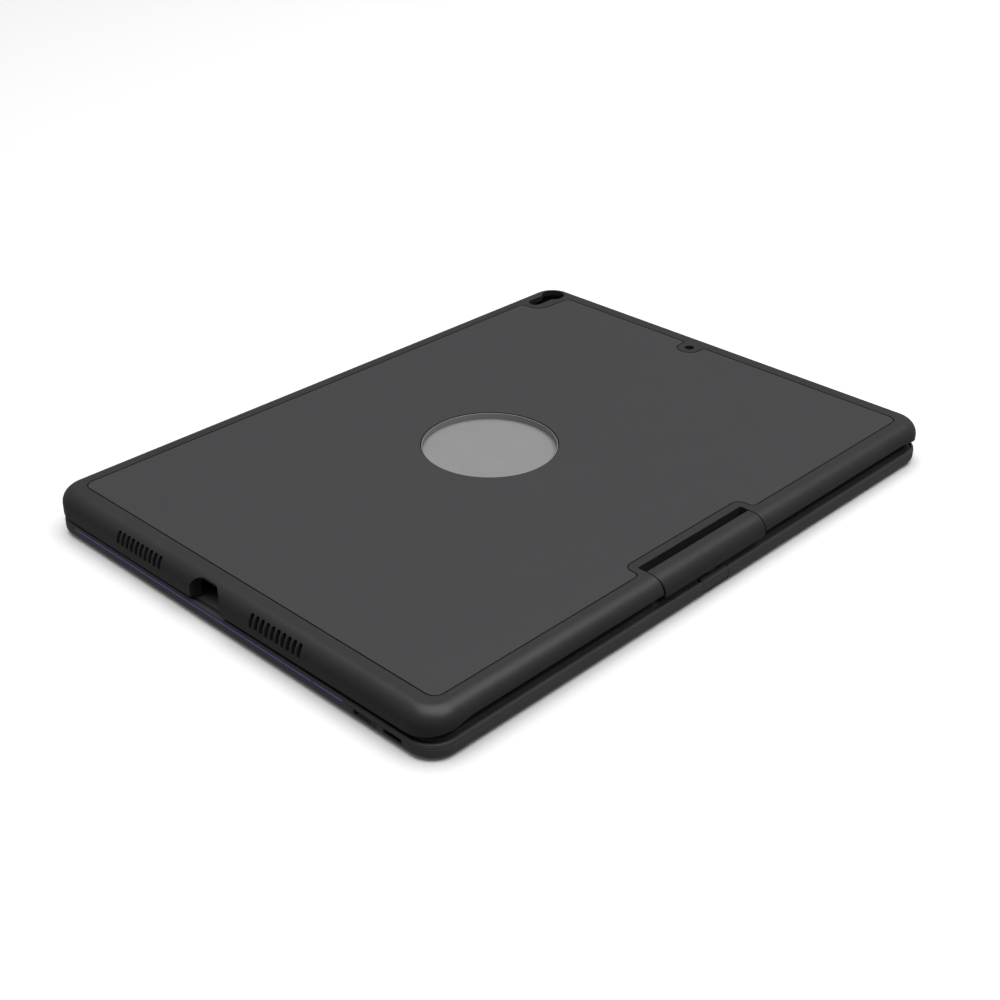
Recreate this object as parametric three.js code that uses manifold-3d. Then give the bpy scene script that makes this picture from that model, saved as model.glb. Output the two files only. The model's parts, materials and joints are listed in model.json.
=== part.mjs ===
// Tablet keyboard case: a snap-in tablet lid on a two-way hinge over a slim wireless keyboard.
// Millimetres, +Z up. X runs along the long edges, +Y is the hinge side, and Z = 0 is the plane
// that the rubber feet stand on. The case is modelled closed.
import * as THREE from 'three';
import { mergeVertices } from 'three/addons/utils/BufferGeometryUtils.js';
import Module from 'manifold-3d';

const wasm = await Module();
wasm.setup();

// ---------------------------------------------------------------- driving dimensions
const CORNER_STEPS = 5;
const ROD_STEPS = 14;
const ROUND_STEPS = 20;
const WINDOW_STEPS = 40;
const MERGE_TOLERANCE = 1e-5;
const LEAST_CORNER = 0.5;
const SEAM = 0.4;
const FIT = 0.3;
const SHEET_GAP = 0.05;
const REACH = 3;
const CLEAR = 1;

const LID = { halfX: 129.6, halfY: 96.4, corner: 12, bottom: 7.5, top: 17.0, round: 5.5, chamfer: 0.5 };
const BASE = { halfX: 129.2, halfY: 95.9, corner: 11.5, bottom: 0.6, parting: 4.8, top: 6.9, round: 2.2 };
const BASE_EDGE = [[0.15, 6.0], [0.45, 6.2], [2.4, 6.5], [4.0, BASE.top]];

const BAY = {
  halfX: 125.4, halfY: 87.1, y: -8.1, corner: 8, lip: 0.75, lipTop: 7.9, shoulder: 13.6, ceiling: 14.8,
};
const PANEL = { halfX: 120.3, halfY: 88.1, corner: 3.5, bottom: 16.2 };
const LINING = { bottom: 14.0, inset: 1.3 };
const WINDOW = {
  radius: 25.4, y: BAY.y, flange: 26.9, filmTop: 14.2, collar: 25.0, inner: 24.75, collarTop: 16.8,
};
const MICROPHONE = { x: -117.2, radius: 2.0, tabX: -112.0, tabHalfY: 5.1, tabRound: 5.0, fillet: 1.5 };
const CAMERA = { x: -119.2, y: -85.9, radius: 4.9, neckX: -105, neckHalfY: 2.9 };
const CAMERA_ISLAND = { x: -102.2, y: -78.5, round: 6, fillet: 2.5 };
const PORT = { y: -7.6, halfY: 7.0, top: 15.4, corner: 4.5, recess: 0.9, recessX: 126.6 };
const SLOTS = { count: 10, pitch: 2.556, offset: 35.4, width: 1.6, bottom: 10.5, top: 15.5 };
const VOLUME_KEYS = { x0: -110, x1: -85, bottom: 9.6, top: 13.2 };
const SLEEP_KEY = { y0: -84, y1: -70, bottom: 9.6, top: 13.4 };
const EARPHONE = { y: 66.5, z: 11.4, radius: 3.6 };

const HINGE = { x0: -26.5, x1: 27.3, front: 88.5, bottom: 9.9, wall: 1.0, axisY: 91.6, axisZ: 12.25 };
const HINGE_SLOT = { x0: HINGE.x0 - SEAM, x1: HINGE.x1 + SEAM, front: 85.15 };
const HINGE_NOTCH = { x0: -30.2, x1: 30.7, front: 81.5, corner: 3.6, fillet: 2.0 };
const CORE = { halfX: 9, front: 89.8, rear: 94.3, bottom: 9.6, top: 14.0, neck: 4.2, neckBottom: 7.3 };
const BARREL = { outer: 1.95, inner: 1.4, end: 24.8 };
const SHAFT = { radius: 1.1, start: 9.6, end: 35.4 };
const LEAF = {
  start: 28.2, knuckleEnd: 36, end: 64, knuckle: 3.2, front: 80.6, rear: 89.6, bottom: 10.0, top: 11.5,
};
const LEAF_SCREW = { distances: [42, 58], y: 84.2, hole: 1.3, head: 1.9, headBottom: 9.55, shank: 0.9 };
const UNDERCUT = { front: 80.2, top: 11.8, bottomHalf: 128.6, topHalf: 114 };
const EDGE_RISE = { inner: 127.6, y0: -60, y1: 98, height: 1.5 };
const TRIM = { halfX: 119, front: 80.5, rear: 87.0, slotRear: 84.8, top: 9.3 };
const BUMPER = { x0: 58, x1: 72, inset: 0.8, width: 1.0, height: 0.3 };

const SWIVEL = { y: 90.5, post: 2.2, bore: 2.5, postBottom: 1.95, postTop: 9.3, counterbore: 3.8 };
const BEARING = {
  x0: -7.5, x1: 5.8, front: 85.6, bottom: 1.75, shoulder: 3.3, foot: 0.5, footTop: 3.1, seam: 0.15,
};
const WASHER = { bottom: 2.85, top: 3.2 };
const NUT = { top: 2.75, sides: 6 };

const WALL = 2.0;
const FRAME_WALL = 2.5;
const FLOOR_TOP = 1.7;
const FRAME_UNDERSIDE = 5.3;
const WELL = { halfX: 121, y0: -27.5, y1: 73.5, corner: 3 };
const DECK = { halfX: 122.4, y0: -31, y1: 77, bottom: 4.5 };
const LIGHT_STRIP = { bottom: 4.5, top: 4.95, depth: 1.0, spans: [[-83, 43.6], [44.3, 57.8]] };
const SWITCH = { y0: 62.6, y1: 72.9, bottom: 2.7, top: 4.6, bodyX0: 122.8, bodyX1: 126.0, overlap: 0.5 };
const KNOB = { y0: 64.8, y1: 72.7, x0: 126.3, x1: 129.05, clear: 0.2 };
const RIB = { count: 6, first: 0.6, pitch: 0.85, width: 0.4, depth: 0.35 };
const USB = { y0: 75.6, y1: 83.5, bottom: 2.6, top: 4.6 };
const SOCKET = { x0: 122.8, x1: 128.8, mouthX: 124, below: 0.1, above: 0.15, side: 0.7, wall: 0.4 };
const SCREW_POINTS = [[-118, -86], [118, -86], [118, 90], [-118, 90]];
const SCREW = {
  head: 2.2, headBottom: 0.9, headTop: 1.95, shank: 1.0, top: 4.8, well: 2.5, wellTop: 2.0, hole: 1.3,
};
const BOSS = { lower: 4, lowerTop: 3.0, upper: 2.6, upperBottom: 3.3, holeTop: 5.1 };
const FOOT = { x: 110, y: 79, radius: 5 };
const CELL = { x0: 12, x1: 92, y0: -84, y1: -40, top: 4.3 };
const MAGNET = { x0: 98, x1: 106, y0: -68, y1: -54, top: 4.0 };
const BOARD = {
  mainX0: 40, sideX0: 122.8, sideX1: 126.4, y0: 78, y1: 84.6, sideY0: 61.5, bottom: 1.9, top: 2.5,
};
const SHEETS = { supportTop: 2.0, guide: [2.05, 2.3], membrane: [2.35, 2.6] };

const KEY = {
  unit: 16.5, row: 17.2, functionRow: 12.8, gap: 2.2, top: 6.3, webTop: 4.2, webBottom: 3.9, web: 4,
};
const ROW_UNITS = 14.5;
const KEY_BLOCK = { left: -ROW_UNITS / 2 * KEY.unit, rear: WELL.y1 - KEY.gap / 2 };

// ---------------------------------------------------------------- solids from three.js shapes
/** Turn a closed three.js geometry into a solid that can be joined and cut. */
function solid(geometry) {
  const bare = geometry.clone();
  bare.deleteAttribute('normal');
  bare.deleteAttribute('uv');
  const merged = mergeVertices(bare, MERGE_TOLERANCE);
  const vertProperties = new Float32Array(merged.attributes.position.array);
  const triVerts = new Uint32Array(merged.index.array);
  return new wasm.Manifold(new wasm.Mesh({ numProp: 3, vertProperties, triVerts }));
}

/** Box between two corners. */
function box(x0, x1, y0, y1, z0, z1) {
  const geometry = new THREE.BoxGeometry(x1 - x0, y1 - y0, z1 - z0);
  geometry.translate((x0 + x1) / 2, (y0 + y1) / 2, (z0 + z1) / 2);
  return solid(geometry);
}

/** Upright round bar at x, y from z0 to z1. */
function disc(radius, x, y, z0, z1, steps = ROUND_STEPS) {
  const geometry = new THREE.CylinderGeometry(radius, radius, z1 - z0, steps);
  geometry.rotateX(Math.PI / 2);
  geometry.translate(x, y, (z0 + z1) / 2);
  return solid(geometry);
}

/** Round bar along X on the line y, z from x0 to x1. */
function rod(radius, x0, x1, y, z) {
  const geometry = new THREE.CylinderGeometry(radius, radius, x1 - x0, ROD_STEPS);
  geometry.rotateZ(Math.PI / 2);
  geometry.translate((x0 + x1) / 2, y, z);
  return solid(geometry);
}

/** Plate of a plan outline from z0 to z1. */
function plate(shape, z0, z1) {
  const options = { depth: z1 - z0, bevelEnabled: false, curveSegments: CORNER_STEPS };
  const geometry = new THREE.ExtrudeGeometry(shape, options);
  geometry.translate(0, 0, z0);
  return solid(geometry);
}

/** Bar along X with a section drawn in Y and Z. */
function bar(shape, x0, x1) {
  const options = { depth: x1 - x0, bevelEnabled: false, curveSegments: CORNER_STEPS };
  const geometry = new THREE.ExtrudeGeometry(shape, options);
  geometry.rotateX(Math.PI / 2);
  geometry.rotateZ(Math.PI / 2);
  geometry.translate(x0, 0, 0);
  return solid(geometry);
}

/** Plan outline of a rectangle with round corners. */
function roundRectangle(x0, x1, y0, y1, radius) {
  const shape = new THREE.Shape();
  shape.absarc(x1 - radius, y0 + radius, radius, -Math.PI / 2, 0);
  shape.absarc(x1 - radius, y1 - radius, radius, 0, Math.PI / 2);
  shape.absarc(x0 + radius, y1 - radius, radius, Math.PI / 2, Math.PI);
  shape.absarc(x0 + radius, y0 + radius, radius, Math.PI, Math.PI * 1.5);
  return shape;
}

/** Points round a rectangle with round corners, pulled in by an inset. */
function ring(body, inset) {
  const radius = Math.max(body.corner - inset, LEAST_CORNER);
  const signs = [[1, 1], [-1, 1], [-1, -1], [1, -1]];
  return signs.flatMap(([signX, signY], quarter) => {
    const centreX = signX * (body.halfX - inset - radius);
    const centreY = signY * (body.halfY - inset - radius);
    return Array.from({ length: CORNER_STEPS + 1 }, (_, step) => {
      const angle = (quarter + step / CORNER_STEPS) * Math.PI / 2;
      return [centreX + radius * Math.cos(angle), centreY + radius * Math.sin(angle)];
    });
  });
}

/** Slab with a shaped rim: each layer is an inset and a height, from the bottom up. */
function slab(body, layers) {
  const rings = layers.map(([inset, z]) => ring(body, inset).map(([x, y]) => [x, y, z]));
  const count = rings[0].length;
  const points = [...rings.flat(), [0, 0, layers[0][1]], [0, 0, layers.at(-1)[1]]];
  const bottomCentre = points.length - 2;
  const topCentre = points.length - 1;
  const lastRing = (layers.length - 1) * count;
  const faces = [];
  for (let i = 0; i < count; i++) {
    const next = (i + 1) % count;
    for (let layer = 0; layer < layers.length - 1; layer++) {
      const low = layer * count;
      const high = low + count;
      faces.push(low + i, low + next, high + next);
      faces.push(low + i, high + next, high + i);
    }
    faces.push(bottomCentre, next, i);
    faces.push(topCentre, lastRing + i, lastRing + next);
  }
  const geometry = new THREE.BufferGeometry();
  geometry.setAttribute('position', new THREE.Float32BufferAttribute(points.flat(), 3));
  geometry.setIndex(faces);
  return solid(geometry);
}

/** Layers of a quarter round from a side wall up to a flat top. */
function roundTop(radius, flatZ) {
  return Array.from({ length: CORNER_STEPS + 1 }, (_, step) => {
    const angle = step / CORNER_STEPS * Math.PI / 2;
    return [radius * (1 - Math.cos(angle)), flatZ - radius * (1 - Math.sin(angle))];
  });
}

/** Layers of a quarter round from a flat underside up to a side wall. */
function roundBottom(radius, flatZ) {
  return roundTop(radius, flatZ).map(([inset, z]) => [inset, 2 * flatZ - z]).reverse();
}

function join(pieces) {
  return pieces.reduce((whole, piece) => whole.add(piece));
}

function cut(body, tools) {
  return tools.reduce((rest, tool) => rest.subtract(tool), body);
}

// ---------------------------------------------------------------- materials
const FINISHES = {
  rimPlastic: { color: 0x47474a, roughness: 0.55, metalness: 0 },
  panelPlastic: { color: 0x515154, roughness: 0.5, metalness: 0.1 },
  basePlastic: { color: 0x3f3f42, roughness: 0.55, metalness: 0 },
  keyPlastic: { color: 0x2b2b2d, roughness: 0.6, metalness: 0 },
  window: { color: 0x909092, roughness: 0.3, metalness: 0 },
  lining: { color: 0x3a3a3c, roughness: 0.95, metalness: 0 },
  steel: { color: 0x9a9a9c, roughness: 0.35, metalness: 1 },
  darkSteel: { color: 0x4a4a4c, roughness: 0.4, metalness: 1 },
  rubber: { color: 0x1c1c1d, roughness: 0.85, metalness: 0 },
  lightStrip: { color: 0x7b72cc, roughness: 0.35, metalness: 0 },
  circuit: { color: 0x1f4d2e, roughness: 0.5, metalness: 0 },
  cell: { color: 0x8f9092, roughness: 0.45, metalness: 0.6 },
  film: { color: 0xcfd2d4, roughness: 0.4, metalness: 0 },
};

const group = new THREE.Group();

/** Add one solid to the model as a named mesh with its own material. */
function addPart(name, body, finish) {
  const mesh = body.getMesh();
  const geometry = new THREE.BufferGeometry();
  geometry.setAttribute('position', new THREE.Float32BufferAttribute(mesh.vertProperties, 3));
  geometry.setIndex(Array.from(mesh.triVerts));
  geometry.computeVertexNormals();
  const part = new THREE.Mesh(geometry, new THREE.MeshStandardMaterial(FINISHES[finish]));
  part.name = name;
  group.add(part);
}

// ---------------------------------------------------------------- lid
/** Plan outline with rounded corners: each corner is x, y and the length that its round takes up. */
function roundedOutline(corners) {
  const shape = new THREE.Shape();
  corners.forEach(([x, y, reach], index) => {
    const corner = new THREE.Vector2(x, y);
    const [before, after] = [corners.at(index - 1), corners[(index + 1) % corners.length]];
    const start = new THREE.Vector2(before[0], before[1]).sub(corner).setLength(reach).add(corner);
    const end = new THREE.Vector2(after[0], after[1]).sub(corner).setLength(reach).add(corner);
    if (index === 0) {
      shape.moveTo(start.x, start.y);
    } else {
      shape.lineTo(start.x, start.y);
    }
    shape.quadraticCurveTo(x, y, end.x, end.y);
  });
  shape.closePath();
  return shape;
}

/**
 * Outline of the lid panel, or of its recess when it is grown by the seam. Each row is x, y, the
 * length of the round, and the signs of the way the corner moves when the outline grows.
 */
function panelOutline(grow) {
  const { halfX, halfY, corner } = PANEL;
  const { x0, x1, front } = HINGE_NOTCH;
  const { tabX, tabHalfY, tabRound } = MICROPHONE;
  const island = CAMERA_ISLAND;
  const corners = [
    [halfX, -halfY, corner, 1, -1],
    [halfX, halfY, corner, 1, 1],
    [x1, halfY, HINGE_NOTCH.fillet, -1, 1],
    [x1, front, HINGE_NOTCH.corner, -1, 1],
    [x0, front, HINGE_NOTCH.corner, 1, 1],
    [x0, halfY, HINGE_NOTCH.fillet, 1, 1],
    [-halfX, halfY, corner, -1, 1],
    [-halfX, BAY.y + tabHalfY, MICROPHONE.fillet, -1, -1],
    [tabX, BAY.y + tabHalfY, tabRound - grow, -1, -1],
    [tabX, BAY.y - tabHalfY, tabRound - grow, -1, 1],
    [-halfX, BAY.y - tabHalfY, MICROPHONE.fillet, -1, 1],
    [-halfX, island.y, island.fillet, -1, -1],
    [island.x, island.y, island.round, -1, -1],
    [island.x, -halfY, island.fillet, -1, -1],
  ];
  return roundedOutline(corners.map(([x, y, reach, signX, signY]) => (
    [x + grow * signX, y + grow * signY, reach]
  )));
}

/** Space for the tablet: a bay with a thin snap lip round its mouth. */
function tabletBay() {
  const { halfX, halfY, y, corner, lip, lipTop, shoulder, ceiling } = BAY;
  const outline = (inset) => (
    roundRectangle(-halfX + inset, halfX - inset, y - halfY + inset, y + halfY - inset, corner - inset)
  );
  return join([
    plate(outline(lip), LID.bottom - CLEAR, lipTop + SHEET_GAP),
    plate(outline(0), lipTop, shoulder),
    plate(outline(CLEAR), shoulder - SHEET_GAP, ceiling),
  ]);
}

/** Speaker slots on both short edges, in two rows each. */
function speakerSlots() {
  const slots = [];
  for (const side of [-1, 1]) {
    for (const rowCentre of [BAY.y - SLOTS.offset, BAY.y + SLOTS.offset]) {
      for (let i = 0; i < SLOTS.count; i++) {
        const y = rowCentre + (i - (SLOTS.count - 1) / 2) * SLOTS.pitch;
        const inner = side * (BAY.halfX - CLEAR);
        const outer = side * (LID.halfX + REACH);
        const [x0, x1] = [Math.min(inner, outer), Math.max(inner, outer)];
        slots.push(box(x0, x1, y - SLOTS.width / 2, y + SLOTS.width / 2, SLOTS.bottom, SLOTS.top));
      }
    }
  }
  return slots;
}

/** Openings in the lid's rim for the tablet's port, keys and earphone socket. */
function rimOpenings() {
  const [left, right] = [-LID.halfX - REACH, LID.halfX + REACH];
  const bayLeft = -BAY.halfX + CLEAR;
  const front = BAY.y - BAY.halfY;
  const { x0, x1 } = VOLUME_KEYS;
  const { y, halfY, top, corner, recess, recessX } = PORT;
  const port = (grow) => (
    roundRectangle(y - halfY - grow, y + halfY + grow, LID.bottom - 2 * corner, top + grow, corner + grow)
  );
  return [
    bar(port(0), BAY.halfX - CLEAR, right),
    bar(port(recess), recessX, right),
    box(x0, x1, -LID.halfY - REACH, front + CLEAR, VOLUME_KEYS.bottom, VOLUME_KEYS.top),
    box(left, bayLeft, SLEEP_KEY.y0, SLEEP_KEY.y1, SLEEP_KEY.bottom, SLEEP_KEY.top),
    rod(EARPHONE.radius, left, bayLeft, EARPHONE.y, EARPHONE.z),
  ];
}

/** Space under the rear edge of the lid, where the leaves lie and the lid rolls on its axis. */
function rearUndercut() {
  const section = new THREE.Shape();
  section.moveTo(-UNDERCUT.bottomHalf, LID.bottom - CLEAR);
  section.lineTo(UNDERCUT.bottomHalf, LID.bottom - CLEAR);
  section.lineTo(UNDERCUT.topHalf, UNDERCUT.top);
  section.lineTo(-UNDERCUT.topHalf, UNDERCUT.top);
  section.closePath();
  const depth = LID.halfY + REACH - UNDERCUT.front;
  const geometry = new THREE.ExtrudeGeometry(section, { depth, bevelEnabled: false });
  geometry.rotateX(Math.PI / 2);
  geometry.translate(0, UNDERCUT.front + depth, 0);
  return solid(geometry);
}

/** Wedges off the lower outer edges of the short sides, which open the gap towards the hinge. */
function edgeRise() {
  const { inner, y0, y1, height } = EDGE_RISE;
  const section = new THREE.Shape();
  section.moveTo(y0, LID.bottom - CLEAR);
  section.lineTo(y1, LID.bottom - CLEAR);
  section.lineTo(y1, LID.bottom + height);
  section.lineTo(y0, LID.bottom);
  section.closePath();
  return [bar(section, inner, LID.halfX + REACH), bar(section, -LID.halfX - REACH, -inner)];
}

/** Hinge slot and the round pockets for the leaf knuckles. */
function hingePockets() {
  const { x0, x1, front } = HINGE_SLOT;
  const pocket = LEAF.knuckle + FIT;
  const [start, end] = [HINGE_SLOT.x1 - CLEAR, LEAF.knuckleEnd + FIT];
  return [
    box(x0, x1, front, LID.halfY + REACH, LID.bottom - CLEAR, LID.top + CLEAR),
    rod(pocket, start, end, HINGE.axisY, HINGE.axisZ),
    rod(pocket, -end, -start, HINGE.axisY, HINGE.axisZ),
  ];
}

/** Grey film with a thin collar that stands up inside the window. */
function windowInsert() {
  const { y, flange, filmTop, collar, inner, collarTop } = WINDOW;
  const film = disc(flange, 0, y, LINING.bottom, filmTop, WINDOW_STEPS);
  const wall = disc(collar, 0, y, filmTop - SHEET_GAP, collarTop, WINDOW_STEPS);
  const hollow = disc(inner, 0, y, filmTop, collarTop + CLEAR, WINDOW_STEPS);
  return join([film, wall]).subtract(hollow);
}

/** Camera opening: a round end with a straight neck. */
function cameraOpening(z0, z1) {
  const { x, y, radius, neckX, neckHalfY } = CAMERA;
  const neck = roundRectangle(x, neckX, y - neckHalfY, y + neckHalfY, neckHalfY - SHEET_GAP);
  return join([disc(radius, x, y, z0, z1), plate(neck, z0, z1)]);
}

function buildLid() {
  const { bottom, top, round, chamfer } = LID;
  const layers = [[chamfer, bottom], [0, bottom + chamfer], ...roundTop(round, top)];
  const [below, above] = [BAY.ceiling - CLEAR, top + CLEAR];
  const openings = [
    disc(WINDOW.radius, 0, WINDOW.y, below, above, WINDOW_STEPS),
    cameraOpening(below, above),
    disc(MICROPHONE.radius, MICROPHONE.x, BAY.y, below, above),
  ];
  const shell = cut(slab(LID, layers), [
    tabletBay(),
    plate(panelOutline(SEAM), PANEL.bottom, above),
    ...openings,
    ...speakerSlots(),
    ...rimOpenings(),
    rearUndercut(),
    ...edgeRise(),
    ...hingePockets(),
  ]);
  addPart('lid_shell', shell, 'rimPlastic');

  const panel = plate(panelOutline(0), PANEL.bottom + SHEET_GAP, top);
  const windowHole = disc(WINDOW.radius, 0, WINDOW.y, below, above, WINDOW_STEPS);
  addPart('lid_panel', panel.subtract(windowHole), 'panelPlastic');

  addPart('window_lens', windowInsert(), 'window');
  addPart('lid_lining', liningSheet(), 'lining');
  addPart('lid_rear_trim', rearTrim(), 'rimPlastic');
  addBumpers();
}

/** Soft sheet on the bay's ceiling, cut out at the camera and the microphone. */
function liningSheet() {
  const { halfX, halfY, y, corner, ceiling } = BAY;
  const inset = LINING.inset;
  const outline = roundRectangle(-halfX + inset, halfX - inset, y - halfY + inset, y + halfY - inset, corner);
  const camera = roundRectangle(
    -halfX - CLEAR,
    CAMERA.neckX + CLEAR,
    y - halfY - CLEAR,
    CAMERA.y + CAMERA.radius + CLEAR,
    CAMERA_ISLAND.fillet,
  );
  const sheet = plate(outline, LINING.bottom, ceiling - SHEET_GAP);
  const [below, above] = [LINING.bottom - CLEAR, ceiling + CLEAR];
  return cut(sheet, [
    plate(camera, below, above),
    disc(MICROPHONE.radius + CLEAR, MICROPHONE.x, y, below, above),
    disc(WINDOW.flange + FIT, 0, WINDOW.y, below, above, WINDOW_STEPS),
  ]);
}

/** Strip that closes the undercut from below, in front of the hinge. */
function rearTrim() {
  const { halfX, front, rear, slotRear, top } = TRIM;
  const strip = box(-halfX, halfX, front, rear, LID.bottom, top);
  const { x0, x1 } = HINGE_SLOT;
  const [below, above] = [LID.bottom - CLEAR, top + CLEAR];
  return strip.subtract(box(x0 - CLEAR, x1 + CLEAR, slotRear, rear + CLEAR, below, above));
}

/** Two soft strips on the front lip that keep the lid off the keyboard. */
function addBumpers() {
  const { x0, x1, inset, width, height } = BUMPER;
  const y0 = -LID.halfY + inset;
  const spans = { left: [-x1, -x0], right: [x0, x1] };
  for (const [label, [near, far]] of Object.entries(spans)) {
    const pad = box(near, far, y0, y0 + width, LID.bottom - height, LID.bottom);
    addPart(`lid_bumper_${label}`, pad, 'rubber');
  }
}

// ---------------------------------------------------------------- hinge
/** Section of the hinge cover: flush with the lid's top and rim, open below when hollow. */
function coverSection(inset, bottom) {
  const centreY = LID.halfY - LID.round;
  const radius = LID.round - inset;
  const shape = new THREE.Shape();
  shape.moveTo(HINGE.front + inset, bottom);
  shape.lineTo(centreY + radius, bottom);
  shape.absarc(centreY, LID.top - LID.round, radius, 0, Math.PI / 2);
  shape.lineTo(HINGE.front + inset, LID.top - inset);
  shape.closePath();
  return shape;
}

/** Leaf, shaft and screws that tie one side of the lid to the hinge. */
function addLeaf(side, label) {
  const { axisY, axisZ } = HINGE;
  const span = (near, far) => (side > 0 ? [near, far] : [-far, -near]);
  const knuckle = rod(LEAF.knuckle, ...span(LEAF.start, LEAF.knuckleEnd), axisY, axisZ);
  const tongue = box(...span(LEAF.start, LEAF.end), LEAF.front, LEAF.rear, LEAF.bottom, LEAF.top);
  const bore = rod(SHAFT.radius + FIT, ...span(LEAF.start - CLEAR, LEAF.knuckleEnd + CLEAR), axisY, axisZ);
  const { y, hole, head, headBottom, shank } = LEAF_SCREW;
  const screws = LEAF_SCREW.distances.map((distance) => side * distance);
  const holes = screws.map((x) => disc(hole, x, y, LEAF.bottom - CLEAR, LEAF.top + CLEAR));
  addPart(`hinge_leaf_${label}`, cut(join([knuckle, tongue]), [bore, ...holes]), 'steel');
  addPart(`hinge_shaft_${label}`, rod(SHAFT.radius, ...span(SHAFT.start, SHAFT.end), axisY, axisZ), 'steel');
  screws.forEach((x, index) => {
    const cap = disc(head, x, y, headBottom, LEAF.bottom - SHEET_GAP);
    const pin = disc(shank, x, y, headBottom + SHEET_GAP, UNDERCUT.top - 2 * SHEET_GAP);
    addPart(`leaf_screw_${label}_${index + 1}`, join([cap, pin]), 'darkSteel');
  });
}

/** Moulded cover of the hinge block, hollow and open below, with a hole in each end. */
function hingeCover() {
  const { x0, x1, bottom, wall, axisY, axisZ } = HINGE;
  const hollow = bar(coverSection(wall, bottom - CLEAR), x0 + wall, x1 - wall);
  const ends = rod(SHAFT.radius + FIT, x0 - CLEAR, x1 + CLEAR, axisY, axisZ);
  return cut(bar(coverSection(0, bottom), x0, x1), [hollow, ends]);
}

function buildHinge() {
  const { axisY, axisZ } = HINGE;
  addPart('hinge_cover', hingeCover(), 'rimPlastic');

  const { halfX, front, rear, neck, neckBottom } = CORE;
  const block = box(-halfX, halfX, front, rear, CORE.bottom, CORE.top);
  const collar = disc(neck, 0, SWIVEL.y, neckBottom, CORE.bottom);
  const postHole = disc(SWIVEL.bore, 0, SWIVEL.y, neckBottom - CLEAR, CORE.bottom - SHEET_GAP);
  addPart('hinge_core', join([block, collar]).subtract(postHole), 'darkSteel');

  for (const [label, side] of [['left', -1], ['right', 1]]) {
    const [x0, x1] = side > 0 ? [halfX + FIT, BARREL.end] : [-BARREL.end, -halfX - FIT];
    const bore = rod(BARREL.inner, x0 - CLEAR, x1 + CLEAR, axisY, axisZ);
    addPart(`torque_barrel_${label}`, rod(BARREL.outer, x0, x1, axisY, axisZ).subtract(bore), 'steel');
    addLeaf(side, label);
  }

  const { post, bore, postBottom, postTop, counterbore } = SWIVEL;
  const { shoulder } = BEARING;
  addPart('swivel_post', disc(post, 0, SWIVEL.y, postBottom, postTop), 'steel');
  const hole = disc(bore, 0, SWIVEL.y, 0, shoulder + CLEAR);
  const washer = disc(counterbore - FIT, 0, SWIVEL.y, WASHER.bottom, WASHER.top);
  addPart('swivel_washer', washer.subtract(hole), 'steel');
  const nut = disc(counterbore - FIT, 0, SWIVEL.y, postBottom, NUT.top, NUT.sides);
  addPart('swivel_nut', nut.subtract(hole), 'darkSteel');
}

// ---------------------------------------------------------------- keyboard base
/** Plan outline of the base, pulled in by the thickness of a wall. */
function baseOutline(wall) {
  const { halfX, halfY, corner } = BASE;
  return roundRectangle(-halfX + wall, halfX - wall, -halfY + wall, halfY - wall, corner - wall);
}

/** Space in the rear rim for the swivel bearing block. */
function bearingNotch(bottom) {
  const { x0, x1, front, seam } = BEARING;
  return box(x0 - seam, x1 + seam, front - FIT, BASE.halfY + REACH, bottom, BASE.top + CLEAR);
}

/** Grooves along the right rim for the light strips. */
function lightGrooves() {
  const { bottom, top, depth, spans } = LIGHT_STRIP;
  const [inner, outer] = [BASE.halfX - depth, BASE.halfX + REACH];
  const slack = 2 * SHEET_GAP;
  return spans.map(([y0, y1]) => box(inner, outer, y0 - slack, y1 + slack, bottom, top));
}

function bottomCover() {
  const { halfX, bottom, parting, round } = BASE;
  const layers = [...roundBottom(round, bottom), [0, parting]];
  const hollow = plate(baseOutline(WALL), FLOOR_TOP, parting + CLEAR);
  const { lower, lowerTop } = BOSS;
  const bosses = SCREW_POINTS.map(([x, y]) => disc(lower, x, y, FLOOR_TOP - SHEET_GAP, lowerTop));
  const sideX = halfX - WALL - CLEAR;
  const tools = SCREW_POINTS.flatMap(([x, y]) => [
    disc(SCREW.well, x, y, bottom - CLEAR, SCREW.wellTop),
    disc(SCREW.hole, x, y, bottom - CLEAR, parting),
  ]);
  return cut(join([slab(BASE, layers).subtract(hollow), ...bosses]), [
    ...tools,
    bearingNotch(FLOOR_TOP),
    ...lightGrooves(),
    box(sideX, halfX + REACH, SWITCH.y0, SWITCH.y1, SWITCH.bottom, SWITCH.top),
    box(sideX, halfX + REACH, USB.y0, USB.y1, USB.bottom, USB.top),
  ]);
}

function topFrame() {
  const { parting, top } = BASE;
  const layers = [[0, parting], ...BASE_EDGE];
  const under = plate(baseOutline(FRAME_WALL), parting - CLEAR, FRAME_UNDERSIDE);
  const well = roundRectangle(-WELL.halfX, WELL.halfX, WELL.y0, WELL.y1, WELL.corner);
  const { upper, upperBottom, holeTop } = BOSS;
  const bossTop = FRAME_UNDERSIDE + SHEET_GAP;
  const bosses = SCREW_POINTS.map(([x, y]) => disc(upper, x, y, upperBottom, bossTop));
  const frame = slab(BASE, layers).subtract(under);
  return cut(join([frame, ...bosses]), [
    ...SCREW_POINTS.map(([x, y]) => disc(SCREW.hole, x, y, upperBottom - CLEAR, holeTop)),
    plate(well, parting - CLEAR, top + CLEAR),
    bearingNotch(parting - CLEAR),
    ...lightGrooves(),
  ]);
}

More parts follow.
